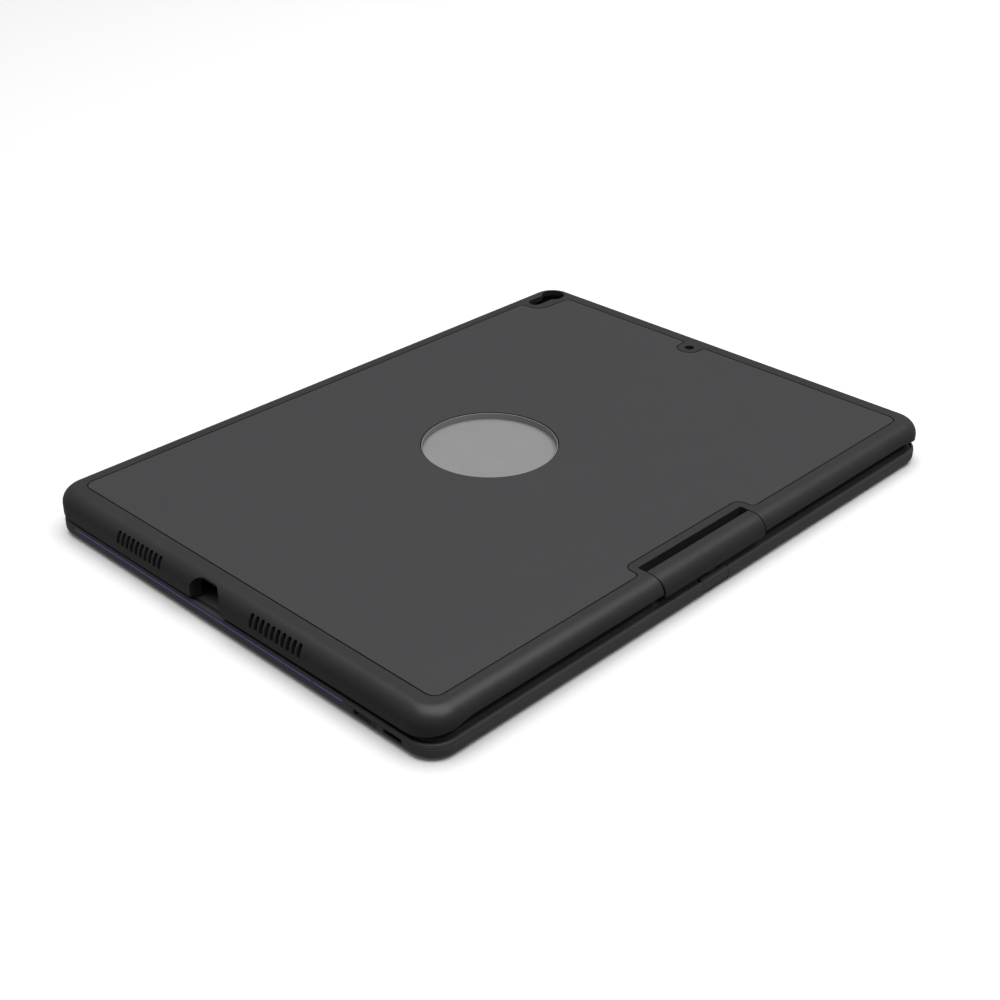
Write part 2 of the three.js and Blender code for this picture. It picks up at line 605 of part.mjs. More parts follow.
/** Block in the rear rim that the hinge turns on. */
function bearingBlock() {
  const { x0, x1, front, bottom, shoulder, foot, footTop } = BEARING;
  const rear = BASE.halfY;
  const section = new THREE.Shape();
  section.moveTo(front, bottom);
  section.lineTo(rear - foot, bottom);
  section.lineTo(rear, footTop);
  section.lineTo(rear, BASE.parting);
  BASE_EDGE.forEach(([inset, z]) => section.lineTo(rear - inset, z));
  section.lineTo(front, BASE.top);
  section.closePath();
  return cut(bar(section, x0, x1), [
    disc(SWIVEL.bore, 0, SWIVEL.y, 0, BASE.top + CLEAR),
    disc(SWIVEL.counterbore, 0, SWIVEL.y, 0, shoulder),
  ]);
}

/** Flat sheet under the keys, between two heights. */
function keySheet(z0, z1) {
  return box(-DECK.halfX, DECK.halfX, DECK.y0, DECK.y1, z0, z1);
}

/** Cells, magnet, circuit board, charging socket and the body of the power switch. */
function addElectronics() {
  const floor = FLOOR_TOP + SHEET_GAP;
  addPart('battery_left', box(-CELL.x1, -CELL.x0, CELL.y0, CELL.y1, floor, CELL.top), 'cell');
  addPart('battery_right', box(CELL.x0, CELL.x1, CELL.y0, CELL.y1, floor, CELL.top), 'cell');
  addPart('wake_magnet', box(MAGNET.x0, MAGNET.x1, MAGNET.y0, MAGNET.y1, floor, MAGNET.top), 'steel');

  const { mainX0, sideX0, sideX1, y0, y1, sideY0, bottom, top } = BOARD;
  const mainBoard = box(mainX0, sideX0 + SHEET_GAP, y0, y1, bottom, top);
  const sideBoard = box(sideX0, sideX1, sideY0, y1, bottom, top);
  addPart('circuit_board', join([mainBoard, sideBoard]), 'circuit');

  const { below, above, side, wall } = SOCKET;
  const [low, high] = [USB.bottom + below, USB.top - above];
  const socket = box(SOCKET.x0, SOCKET.x1, USB.y0 + FIT, USB.y1 - FIT, low, high);
  const mouth = box(SOCKET.mouthX, BASE.halfX + CLEAR, USB.y0 + side, USB.y1 - side, low + wall, high - wall);
  addPart('usb_socket', socket.subtract(mouth), 'darkSteel');

  const { bodyX0, bodyX1, overlap } = SWITCH;
  const [front, rear] = [SWITCH.y0 - overlap, SWITCH.y1 + overlap];
  const switchBody = box(bodyX0, bodyX1, front, rear, SWITCH.bottom, SWITCH.top - above);
  addPart('switch_body', switchBody, 'keyPlastic');
}

function buildBase() {
  addPart('bottom_cover', bottomCover(), 'basePlastic');
  addPart('base_top_frame', topFrame(), 'basePlastic');
  addPart('swivel_bearing_block', bearingBlock(), 'basePlastic');
  addPart('key_support_plate', keySheet(FLOOR_TOP + SHEET_GAP, SHEETS.supportTop), 'steel');
  addPart('light_guide_sheet', keySheet(...SHEETS.guide), 'film');
  addPart('key_membrane', keySheet(...SHEETS.membrane), 'film');
  addPart('key_deck', keyDeck(), 'basePlastic');

  addElectronics();

  LIGHT_STRIP.spans.forEach(([y0, y1], index) => {
    const { bottom, top, depth } = LIGHT_STRIP;
    const strip = box(BASE.halfX - depth, BASE.halfX - 2 * SHEET_GAP, y0, y1, bottom, top);
    addPart(`light_strip_${['long', 'short'][index]}`, strip, 'lightStrip');
  });
  SCREW_POINTS.forEach(([x, y], index) => {
    const { head, headBottom, headTop, shank, top } = SCREW;
    const cap = disc(head, x, y, headBottom, headTop);
    const pin = disc(shank, x, y, headTop - SHEET_GAP, top);
    addPart(`cover_screw_${index + 1}`, join([cap, pin]), 'darkSteel');
  });
  const corners = [[-1, -1], [1, -1], [1, 1], [-1, 1]];
  corners.forEach(([signX, signY], index) => {
    const foot = disc(FOOT.radius, signX * FOOT.x, signY * FOOT.y, 0, BASE.bottom);
    addPart(`foot_${index + 1}`, foot, 'rubber');
  });
}

// ---------------------------------------------------------------- keys and power switch
/** Rectangles of one key row, from its rear edge, depth and key widths in units. */
function keyRow(rear, depth, widths) {
  let left = KEY_BLOCK.left;
  return widths.map((units) => {
    const width = units * KEY.unit;
    const half = KEY.gap / 2;
    const cap = { x0: left + half, x1: left + width - half, y0: rear - depth + half, y1: rear - half };
    left += width;
    return cap;
  });
}

/** Every key cap, sorted into the pieces that move on their own. */
function keyLayout() {
  const { row, functionRow, gap } = KEY;
  const rears = Array.from({ length: 6 }, (_, index) => (
    KEY_BLOCK.rear - (index === 0 ? 0 : functionRow + (index - 1) * row)
  ));
  const ones = (count) => Array(count).fill(1);
  const bottomRow = keyRow(rears[5], row, [1, 1, 1, 1.25, 5, 1.25, 1, 1, 1, 1]);
  const [arrowLeft, arrowColumn, arrowRight] = bottomRow.slice(7);
  const middle = (arrowColumn.y0 + arrowColumn.y1) / 2;
  return {
    function_keys: keyRow(rears[0], functionRow, Array(14).fill(ROW_UNITS / 14)),
    number_keys: keyRow(rears[1], row, [...ones(13), 1.5]),
    upper_letter_keys: keyRow(rears[2], row, [1.5, ...ones(13)]),
    home_letter_keys: keyRow(rears[3], row, [1.75, ...ones(11), 1.75]),
    lower_letter_keys: keyRow(rears[4], row, [2.25, ...ones(10), 2.25]),
    left_modifier_keys: bottomRow.slice(0, 4),
    space_bar: [bottomRow[4]],
    right_modifier_keys: bottomRow.slice(5, 7),
    arrow_left_key: [arrowLeft],
    arrow_up_key: [{ ...arrowColumn, y0: middle + gap / 2 }],
    arrow_down_key: [{ ...arrowColumn, y1: middle - gap / 2 }],
    arrow_right_key: [arrowRight],
  };
}

/** Deck plate with one hole for each key. */
function keyDeck() {
  const caps = Object.values(keyLayout()).flat();
  const deck = keySheet(DECK.bottom, FRAME_UNDERSIDE - SHEET_GAP);
  return cut(deck, caps.map(({ x0, x1, y0, y1 }) => (
    box(x0 - FIT, x1 + FIT, y0 - FIT, y1 + FIT, DECK.bottom - CLEAR, FRAME_UNDERSIDE + CLEAR)
  )));
}

/** Caps of one piece, tied below the deck by a thin web. */
function keyGroup(caps) {
  const { webBottom, webTop, top, web } = KEY;
  const middle = (caps[0].y0 + caps[0].y1) / 2;
  const tie = box(caps[0].x0, caps.at(-1).x1, middle - web / 2, middle + web / 2, webBottom, webTop);
  return join([tie, ...caps.map(({ x0, x1, y0, y1 }) => box(x0, x1, y0, y1, webBottom, top))]);
}

function buildControls() {
  for (const [name, caps] of Object.entries(keyLayout())) {
    addPart(name, keyGroup(caps), 'keyPlastic');
  }
  const { bottom, top } = SWITCH;
  const knob = box(KNOB.x0, KNOB.x1, KNOB.y0, KNOB.y1, bottom + KNOB.clear, top - KNOB.clear);
  const grooves = Array.from({ length: RIB.count }, (_, index) => {
    const y = KNOB.y0 + RIB.first + index * RIB.pitch;
    return box(KNOB.x1 - RIB.depth, KNOB.x1 + CLEAR, y - RIB.width / 2, y + RIB.width / 2, bottom, top);
  });
  addPart('power_switch', cut(knob, grooves), 'keyPlastic');
}

buildLid();
buildHinge();
buildBase();
buildControls();

export default group;
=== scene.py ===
"""Finished surfaces of a tablet keyboard case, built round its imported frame.

Sizes are in millimetres in the frame's own axes and become metres where a mesh is made. X runs
along the long edges, +Y is the hinge side, +Z is up, and the feet stand on Z = 0.
"""
import json
import logging
from dataclasses import dataclass, field
from enum import Enum

import bmesh
import bpy
import numpy as np
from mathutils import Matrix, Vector


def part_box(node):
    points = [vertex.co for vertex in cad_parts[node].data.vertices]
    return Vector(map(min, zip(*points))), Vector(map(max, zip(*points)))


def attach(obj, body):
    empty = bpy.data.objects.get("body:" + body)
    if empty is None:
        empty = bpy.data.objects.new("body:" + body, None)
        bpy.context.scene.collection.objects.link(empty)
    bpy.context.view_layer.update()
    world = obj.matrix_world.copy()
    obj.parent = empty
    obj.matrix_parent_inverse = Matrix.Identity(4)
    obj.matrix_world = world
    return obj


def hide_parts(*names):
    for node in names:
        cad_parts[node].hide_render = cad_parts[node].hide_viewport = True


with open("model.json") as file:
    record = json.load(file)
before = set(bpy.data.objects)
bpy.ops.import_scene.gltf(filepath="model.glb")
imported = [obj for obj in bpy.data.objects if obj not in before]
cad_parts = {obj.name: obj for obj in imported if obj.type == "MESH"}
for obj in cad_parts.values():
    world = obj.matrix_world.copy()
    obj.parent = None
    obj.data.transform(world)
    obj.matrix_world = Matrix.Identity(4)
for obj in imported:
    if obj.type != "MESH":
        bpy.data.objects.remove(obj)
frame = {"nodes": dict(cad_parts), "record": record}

LOG = logging.getLogger("keyboard_case")
MM = 0.001
SHARP_ANGLE = np.radians(32)
HINGE_AXIS = (91.6, 12.25)

Array = np.ndarray
Object = bpy.types.Object
Corner = tuple[float, float, float]
Span = tuple[float, float, float, float]


# ------------------------------------------------------------------ surfaces
class Along(Enum):
    """The axis that an outline is carried along; its value picks the columns of x, y and z."""

    X = (2, 0, 1)
    Y = (0, 2, 1)
    Z = (0, 1, 2)


@dataclass
class Surface:
    """A closed surface: points in millimetres, quads between its rings, and its end caps."""

    points: Array
    quads: Array
    caps: list[list[int]]

    @classmethod
    def lofted(cls, rings: Array) -> "Surface":
        """Skin of a stack of rings: point (k, i) joins (k, i + 1), (k + 1, i + 1) and (k + 1, i).

        Args:
            rings: points of shape (rings, around, 3).

        Returns:
            The closed surface, with a flat cap on its first and last ring.
        """
        count, around = rings.shape[:2]
        index = np.arange(count * around).reshape(count, around)
        low, high = index[:-1], index[1:]
        ahead = [low, np.roll(low, -1, axis=1), np.roll(high, -1, axis=1), high]
        quads = np.stack(ahead, axis=-1).reshape(-1, 4)
        return cls(rings.reshape(-1, 3), quads, [index[0, ::-1].tolist(), index[-1].tolist()])

    @classmethod
    def together(cls, parts: list["Surface"]) -> "Surface":
        """Several surfaces as one: each part's indices are raised by the points before it.

        Args:
            parts: surfaces that don't touch each other.

        Returns:
            One surface that holds them all.
        """
        starts = np.cumsum([0] + [len(part.points) for part in parts[:-1]])
        caps = [
            [index + int(start) for index in cap]
            for part, start in zip(parts, starts)
            for cap in part.caps
        ]
        quads = np.concatenate([part.quads + start for part, start in zip(parts, starts)])
        return cls(np.concatenate([part.points for part in parts]), quads, caps)


def filleted(corners: list[Corner] | Array, steps: int = 8) -> Array:
    """Outline of a polygon whose corners are rounded by arcs.

    At each corner the arc's centre lies on the bisector, radius / sin(half angle) away, and the arc
    is the spherical blend of the two radii that end on the sides.

    Args:
        corners: x, y and fillet radius of each corner, in order.
        steps: stretches in each arc.

    Returns:
        Points of the outline, of shape (corners * (steps + 1), 2).
    """
    data = np.array(corners, float)
    here, radius = data[:, :2], data[:, 2:]
    back = np.roll(here, 1, axis=0) - here
    ahead = np.roll(here, -1, axis=0) - here
    back /= np.linalg.norm(back, axis=1, keepdims=True)
    ahead /= np.linalg.norm(ahead, axis=1, keepdims=True)
    half = np.arccos(np.clip((back * ahead).sum(1, keepdims=True), -1, 1)) / 2
    bisector = (back + ahead) / np.linalg.norm(back + ahead, axis=1, keepdims=True)
    centre = here + bisector * radius / np.sin(half)
    start = here + back * radius / np.tan(half) - centre
    end = here + ahead * radius / np.tan(half) - centre
    turn = (np.pi - 2 * half)[:, None, :]
    share = np.linspace(0, 1, steps + 1)[None, :, None]
    arc = np.sin((1 - share) * turn) * start[:, None] + np.sin(share * turn) * end[:, None]
    return (centre[:, None] + arc / np.sin(turn)).reshape(-1, 2)


def rectangle(x0: float, x1: float, y0: float, y1: float, radius: float, steps: int = 8) -> Array:
    """Outline of a rectangle with four round corners of one radius."""
    return filleted([(x1, y0, radius), (x1, y1, radius), (x0, y1, radius), (x0, y0, radius)], steps)


def circle(x: float, y: float, radius: float, steps: int = 64) -> Array:
    """Outline of a circle: centre + radius * (cos t, sin t)."""
    turn = np.linspace(0, 2 * np.pi, steps, endpoint=False)
    return np.stack([x + radius * np.cos(turn), y + radius * np.sin(turn)], axis=1)


def prism(outline: Array, low: float, high: float, along: Along = Along.Z) -> Surface:
    """An outline carried straight along one axis, from low to high."""
    rings = np.empty((2, len(outline), 3))
    rings[..., :2] = outline
    rings[0, :, 2] = low
    rings[1, :, 2] = high
    return Surface.lofted(rings[..., list(along.value)])


def slab(box: Span, corner: float, profile: Array, steps: int = 8) -> Surface:
    """A round-cornered slab with a shaped rim.

    Ring k lies at height z_k. Its points are the corner centres plus (corner - inset_k) times the
    outward direction (cos t, sin t). Where the inset passes the corner radius, the centres move in.

    Args:
        box: lowest x, highest x, lowest y and highest y of the widest ring.
        corner: plan radius of its corners.
        profile: inset and height of each ring, from the bottom up.
        steps: stretches in each corner.

    Returns:
        The closed surface.
    """
    x0, x1, y0, y1 = box
    signs = np.array([[1, 1], [-1, 1], [-1, -1], [1, -1]]).repeat(steps + 1, axis=0)
    turn = (np.arange(4)[:, None] + np.linspace(0, 1, steps + 1)[None]).ravel() * np.pi / 2
    outward = np.stack([np.cos(turn), np.sin(turn)], axis=1)
    middle = np.array([(x0 + x1) / 2, (y0 + y1) / 2])
    half = np.array([(x1 - x0) / 2, (y1 - y0) / 2]) - corner
    inset, height = np.array(profile, float).T
    reach = np.maximum(corner - inset, 0.05)
    pulled = (reach - (corner - inset))[:, None, None]
    rings = np.empty((len(inset), len(signs), 3))
    rings[..., :2] = middle + signs * (half - pulled) + outward * reach[:, None, None]
    rings[..., 2] = height[:, None]
    return Surface.lofted(rings)


def round_edge(radius: float, height: float, rises: bool, steps: int = 8) -> Array:
    """Insets and heights of a quarter round that meets a flat face.

    With t from 0 to a right angle, the inset is radius * (1 - cos t), and the distance to the flat
    face is radius * (1 - sin t).

    Args:
        radius: radius of the quarter round.
        height: height of the flat face.
        rises: True if the flat face is on top.
        steps: stretches in the arc.

    Returns:
        Rows of inset and height, from the bottom up.
    """
    turn = np.linspace(0, np.pi / 2, steps + 1)
    inset = radius * (1 - np.cos(turn))
    drop = radius * (1 - np.sin(turn))
    rows = np.stack([inset, height - drop if rises else height + drop], axis=1)
    return rows if rises else rows[::-1]


# ------------------------------------------------------------------ bench work
def make_object(name: str, surface: Surface) -> Object:
    """Put a surface into the scene as a smooth mesh with its faces pointing out.

    Args:
        name: the object's name.
        surface: the closed surface, in millimetres.

    Returns:
        The new object, at the origin.
    """
    mesh = bpy.data.meshes.new(name)
    mesh.from_pydata((surface.points * MM).tolist(), [], surface.quads.tolist() + surface.caps)
    build = bmesh.new()
    build.from_mesh(mesh)
    bmesh.ops.recalc_face_normals(build, faces=build.faces)
    build.to_mesh(mesh)
    build.free()
    mesh.polygons.foreach_set("use_smooth", np.ones(len(mesh.polygons), bool))
    piece = bpy.data.objects.new(name, mesh)
    bpy.context.scene.collection.objects.link(piece)
    return piece


def apply_modifiers(piece: Object) -> None:
    """Replace a piece's mesh with the one that its modifiers make."""
    graph = bpy.context.evaluated_depsgraph_get()
    made = bpy.data.meshes.new_from_object(piece.evaluated_get(graph), depsgraph=graph)
    before = piece.data
    piece.modifiers.clear()
    piece.data = made
    bpy.data.meshes.remove(before)


def carve(piece: Object, cutters: list[Surface]) -> None:
    """Cut each surface out of a piece, in order."""
    tools = [make_object(f"cutter_{index}", cutter) for index, cutter in enumerate(cutters)]
    for tool in tools:
        cut = piece.modifiers.new("cut", "BOOLEAN")
        cut.operation = "DIFFERENCE"
        cut.solver = "EXACT"
        cut.object = tool
    apply_modifiers(piece)
    for tool in tools:
        mesh = tool.data
        bpy.data.objects.remove(tool)
        bpy.data.meshes.remove(mesh)


def soften(piece: Object, width: float, segments: int = 2) -> None:
    """Round a piece's sharp edges and settle its shading.

    Args:
        piece: the object.
        width: width of the rounded edge in millimetres, or 0 for none.
        segments: stretches across the rounded edge.
    """
    if width:
        bevel = piece.modifiers.new("soft_edge", "BEVEL")
        bevel.width = width * MM
        bevel.segments = segments
        bevel.limit_method = "ANGLE"
        bevel.angle_limit = SHARP_ANGLE
        apply_modifiers(piece)
    piece.data.polygons.foreach_set("use_smooth", np.ones(len(piece.data.polygons), bool))
    piece.data.set_sharp_from_angle(angle=SHARP_ANGLE)
    even = piece.modifiers.new("even_normals", "WEIGHTED_NORMAL")
    even.keep_sharp = True
    split = piece.modifiers.new("triangles", "TRIANGULATE")
    split.min_vertices = 5
    apply_modifiers(piece)


# ------------------------------------------------------------------ finishes
@dataclass(frozen=True)
class Finish:
    """How one material looks.

    Attributes:
        slot: the record's material slot.
        colour: linear base colour.
        roughness: middle of its roughness.
        metallic: 1 for bare metal.
        grain: grains in a metre.
        relief: height of the grain in millimetres.
        mottle: share by which the colour wanders.
        spread: how far the roughness wanders.
        stretch: scale of the grain along x, y and z.
        sheen: weight of soft fibre sheen.
        glow: colour of its own light, or None.
        power: strength of its own light.
        specular: level of its mirror reflection, 0.5 for a common plastic.
    """

    slot: str
    colour: tuple[float, float, float]
    roughness: float
    metallic: float = 0.0
    grain: float = 2600.0
    relief: float = 0.012
    mottle: float = 0.08
    spread: float = 0.05
    stretch: tuple[float, float, float] = (1.0, 1.0, 1.0)
    sheen: float = 0.0
    glow: tuple[float, float, float] | None = None
    power: float = 0.0
    specular: float = 0.5

    def material(self) -> bpy.types.Material:
        """Build the node material, or return it if it is there already.

        Returns:
            A material whose grain, colour and roughness follow three noises on object coordinates.
        """
        known = bpy.data.materials.get(f"finish_{self.slot}")
        if known:
            return known
        material = bpy.data.materials.new(f"finish_{self.slot}")
        material.use_nodes = True
        nodes = material.node_tree.nodes
        links = material.node_tree.links
        shader = nodes["Principled BSDF"]
        shader.inputs["Metallic"].default_value = self.metallic
        shader.inputs["Sheen Weight"].default_value = self.sheen
        shader.inputs["Specular IOR Level"].default_value = self.specular
        if self.glow:
            shader.inputs["Emission Color"].default_value = (*self.glow, 1.0)
            shader.inputs["Emission Strength"].default_value = self.power
        place = nodes.new("ShaderNodeTexCoord")
        mapping = nodes.new("ShaderNodeMapping")
        mapping.inputs["Scale"].default_value = self.stretch
        links.new(place.outputs["Object"], mapping.inputs["Vector"])

        def noise(scale: float, detail: float) -> bpy.types.NodeSocket:
            """Add a noise on the mapped coordinates and return its value."""
            node = nodes.new("ShaderNodeTexNoise")
            node.inputs["Scale"].default_value = scale
            node.inputs["Detail"].default_value = detail
            links.new(mapping.outputs["Vector"], node.inputs["Vector"])
            return node.outputs["Fac"]

        def between(value: bpy.types.NodeSocket, low: float, high: float) -> bpy.types.NodeSocket:
            """Map a noise's middle stretch onto low to high and return the result."""
            node = nodes.new("ShaderNodeMapRange")
            node.inputs["From Min"].default_value = 0.3
            node.inputs["From Max"].default_value = 0.7
            node.inputs["To Min"].default_value = low
            node.inputs["To Max"].default_value = high
            links.new(value, node.inputs["Value"])
            return node.outputs["Result"]

        blend = nodes.new("ShaderNodeMix")
        blend.data_type = "RGBA"
        for socket, share in ((6, 1 - self.mottle), (7, 1 + self.mottle)):
            blend.inputs[socket].default_value = (*(channel * share for channel in self.colour), 1.0)
        links.new(between(noise(self.grain / 60, 4.0), 0.0, 1.0), blend.inputs["Factor"])
        links.new(blend.outputs[2], shader.inputs["Base Color"])
        smoothest, roughest = self.roughness - self.spread, self.roughness + self.spread
        rough = between(noise(self.grain / 9, 3.0), smoothest, roughest)
        links.new(rough, shader.inputs["Roughness"])
        bump = nodes.new("ShaderNodeBump")
        bump.inputs["Strength"].default_value = 1.0
        bump.inputs["Distance"].default_value = self.relief * MM
        links.new(noise(self.grain, 2.0), bump.inputs["Height"])
        links.new(bump.outputs["Normal"], shader.inputs["Normal"])
        return material


RIM = Finish("rim_plastic", (0.020, 0.020, 0.0204), 0.42, spread=0.02, specular=0.28)
PANEL = Finish(
    "panel_plastic", (0.0345, 0.0345, 0.0365), 0.55,
    grain=3400, relief=0.006, mottle=0.01, spread=0.01, specular=0.2,
)
BASE_PLASTIC = Finish("base_plastic", (0.044, 0.044, 0.0445), 0.46, spread=0.02, specular=0.4)
KEY_PLASTIC = Finish("key_plastic", (0.016, 0.016, 0.017), 0.46, grain=3200, relief=0.008, specular=0.4)
WINDOW_FILM = Finish("window_film", (0.19, 0.19, 0.194), 0.45, grain=5200, relief=0.003, mottle=0.02)
FELT = Finish("lining_felt", (0.030, 0.030, 0.033), 0.95, grain=5200, relief=0.22, mottle=0.3, sheen=0.35)
BRIGHT_STEEL = Finish(
    "bright_steel", (0.56, 0.56, 0.57), 0.30, 1.0, grain=900, relief=0.003, stretch=(1, 22, 22),
)
DARK_STEEL = Finish("dark_steel", (0.030, 0.030, 0.032), 0.42, 0.7, grain=1800, relief=0.005)
RUBBER = Finish("rubber", (0.016, 0.016, 0.017), 0.80, grain=2400, relief=0.02, mottle=0.12)
STRIP = Finish("light_strip", (0.10, 0.08, 0.34), 0.35, relief=0.001, glow=(0.16, 0.12, 0.62), power=0.5)
CIRCUIT = Finish("circuit_board", (0.012, 0.070, 0.028), 0.42, grain=1400, relief=0.01, mottle=0.35)
CELL = Finish("cell_pouch", (0.42, 0.42, 0.43), 0.36, 0.8, grain=500, relief=0.05)
CLEAR_FILM = Finish("clear_film", (0.60, 0.61, 0.62), 0.30, grain=900, relief=0.004)
FINISHES = {
    finish.slot: finish
    for finish in (
        RIM, PANEL, BASE_PLASTIC, KEY_PLASTIC, WINDOW_FILM, FELT, BRIGHT_STEEL,
        DARK_STEEL, RUBBER, STRIP, CIRCUIT, CELL, CLEAR_FILM,
    )
}


def dress(piece: Object, finish: Finish, body: str, *nodes: str) -> Object:
    """Give a piece its finish, its body and the frame nodes that it stands for.

    Args:
        piece: the object.
        finish: its finish.
        body: the body that it rides on.
        *nodes: frame nodes that it replaces.

    Returns:
        The same object.
    """
    piece.data.materials.clear()
    piece.data.materials.append(finish.material())
    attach(piece, body)
    if nodes:
        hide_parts(*nodes)
    LOG.info("%s rides on %s, %d faces", piece.name, body, len(piece.data.polygons))
    return piece


def node_span(node: str) -> tuple[Array, Array]:
    """Lowest and highest corner of a frame node, in millimetres."""
    low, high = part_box(node)
    return np.array(low) / MM, np.array(high) / MM


# ------------------------------------------------------------------ lid
@dataclass
class Lid:
    """The snap-in tablet lid: rim shell, inlaid panel, window, lining, trim and bumpers."""

    body: str = "lid"
    corner: float = 11.0
    round: float = 5.5
    foot_round: float = 0.5
    seam: float = 0.5
    recess_floor: float = 16.2
    bay: Span = (-125.4, 125.4, -95.2, 79.0)
    bay_corner: float = 8.0
    lip: float = 0.75
    lip_top: float = 7.9
    shoulder: float = 13.6
    ceiling: float = 14.8
    tablet_y: float = -8.1
    window_radius: float = 25.4
    collar_inset: float = 1.9
    panel_half: tuple[float, float] = (120.3, 88.1)
    hinge_notch: tuple[float, float, float] = (-30.2, 30.7, 81.5)
    microphone: tuple[float, float, float] = (-117.2, -8.1, 1.95)
    microphone_tab: tuple[float, float] = (-112.0, 5.1)
    camera: tuple[float, float, float] = (-119.2, -85.9, 4.9)
    camera_neck: tuple[float, float] = (-105.0, 2.9)
    port: Span = (-7.6, 7.0, 15.4, 4.5)
    port_recess: tuple[float, float] = (0.9, 126.6)
    inside_x: float = 124.0
    slot_height: tuple[float, float] = (10.4, 15.5)
    slot_half: float = 0.8
    slot_round: float = 0.65
    slot_count: int = 10
    slot_pitch: float = 2.556
    slot_offset: float = 35.4
    volume_keys: tuple[float, float, float, float, float] = (-110, -85, 9.6, 13.2, 1.7)
    sleep_key: tuple[float, float, float, float, float] = (-84, -70, 9.6, 13.4, 1.8)
    earphone: tuple[float, float, float] = (66.5, 11.4, 3.6)
    undercut: tuple[float, float] = (80.2, 11.8)
    undercut_foot: tuple[float, float] = (129.8, 1.15)
    undercut_head: float = 114.0
    undercut_round: float = 20.0
    edge_skin: float = 127.6
    edge_rise: tuple[float, float, float] = (-60, 98, 1.4)
    hinge_slot_front: float = 85.15
    knuckle_room: tuple[float, float] = (3.5, 36.3)
    shell_span: tuple[Array, Array] = field(default_factory=lambda: node_span("lid_shell"))
    cover_span: tuple[Array, Array] = field(default_factory=lambda: node_span("hinge_cover"))

    def panel_outline(self, grow: float) -> Array:
        """Plan outline of the inlaid panel, grown outwards by the seam.

        Each corner moves by grow along x and y, away from the panel, so every side moves by grow.
        The fillet grows with it where the outline turns left, and shrinks where it turns right.

        Args:
            grow: how far the outline stands outside the panel.

        Returns:
            Points of the outline.
        """
        half_x, half_y = self.panel_half
        left, right, front = self.hinge_notch
        tab_x, tab_half = self.microphone_tab
        upper, lower = self.tablet_y + tab_half, self.tablet_y - tab_half
        corners = np.array([
            (half_x, -half_y, 3.5, 1, -1),
            (half_x, half_y, 3.5, 1, 1),
            (right, half_y, 1.7, -1, 1),
            (right, front, 3.6, -1, 1),
            (left, front, 3.6, 1, 1),
            (left, half_y, 1.7, 1, 1),
            (-half_x, half_y, 3.5, -1, 1),
            (-half_x, upper, 1.2, -1, -1),
            (tab_x, upper, 5.0, -1, -1),
            (tab_x, lower, 5.0, -1, 1),
            (-half_x, lower, 1.2, -1, 1),
            (-half_x, -78.0, 2.5, -1, -1),
            (-102.3, -78.6, 6.0, -1, -1),
            (-102.0, -half_y, 2.2, -1, -1),
        ])
        place, radius, sign = corners[:, :2], corners[:, 2], corners[:, 3:]
        step = np.roll(place, -1, axis=0) - place
        before = np.roll(step, 1, axis=0)
        turn = np.sign(before[:, 0] * step[:, 1] - before[:, 1] * step[:, 0])
        grown = np.column_stack([place + grow * sign, radius + grow * turn])
        return filleted(grown, 12)

    def rim_openings(self) -> list[Surface]:
        """Cutters for the speaker slots, the charging opening and the tablet's other keys."""
        (left, front, bottom), (right, _, _) = self.shell_span
        y = self.tablet_y
        port_y, port_half, port_top, port_corner = self.port
        recess, recess_x = self.port_recess
        ports = []
        for grow, start in ((0.0, self.inside_x), (recess, recess_x)):
            near, far = port_y - port_half - grow, port_y + port_half + grow
            outline = rectangle(near, far, bottom - 10, port_top + grow, port_corner + grow, 12)
            ports.append(prism(outline, start, right + 2, Along.X))
        from_middle = (np.arange(self.slot_count) - (self.slot_count - 1) / 2) * self.slot_pitch
        half, corner = self.slot_half, self.slot_round
        slots = [
            prism(rectangle(middle - half, middle + half, *self.slot_height, corner, 4), *reach, Along.X)
            for reach in ((self.inside_x, right + 2), (left - 2, -self.inside_x))
            for group in (y - self.slot_offset, y + self.slot_offset)
            for middle in group + from_middle
        ]
        return [
            Surface.together(slots),
            *ports,
            prism(rectangle(*self.volume_keys), front - 2, front + 3, Along.Y),
            prism(rectangle(*self.sleep_key), left - 2, -self.inside_x, Along.X),
            prism(circle(*self.earphone), left - 2, -self.inside_x, Along.X),
        ]

    def hinge_room(self) -> list[Surface]:
        """Cutters for the hinge slot, the leaf knuckles and the space under the rear edge."""
        (_, _, bottom), (_, rear, top) = self.shell_span
        x0, x1 = self.cover_span[0][0] - 0.4, self.cover_span[1][0] + 0.4
        front, ceiling = self.undercut
        foot_x, foot_rise = self.undercut_foot
        foot, head, turn = bottom + foot_rise, self.undercut_head, self.undercut_round
        undercut = filleted([
            (-foot_x, bottom - 1, 0.3),
            (foot_x, bottom - 1, 0.3),
            (foot_x, foot, 0.3),
            (head, ceiling, turn),
            (-head, ceiling, turn),
            (-foot_x, foot, 0.3),
        ], 24)
        start, end, height = self.edge_rise
        rise = np.array([
            (start, bottom - 1),
            (end, bottom - 1),
            (end, bottom + height),
            (front, foot),
            (start, bottom),
        ])
        room, pocket_end = self.knuckle_room
        pocket = circle(*HINGE_AXIS, room, 32)
        return [
            prism(undercut, front, rear + 3, Along.Y),
            prism(rise, self.edge_skin, 133, Along.X),
            prism(rise, -133, -self.edge_skin, Along.X),
            prism(rectangle(x0, x1, self.hinge_slot_front, rear + 9, 0.5, 3), bottom - 1, top + 1),
            prism(pocket, x1 - 1, pocket_end, Along.X),
            prism(pocket, -pocket_end, x0 + 1, Along.X),
        ]

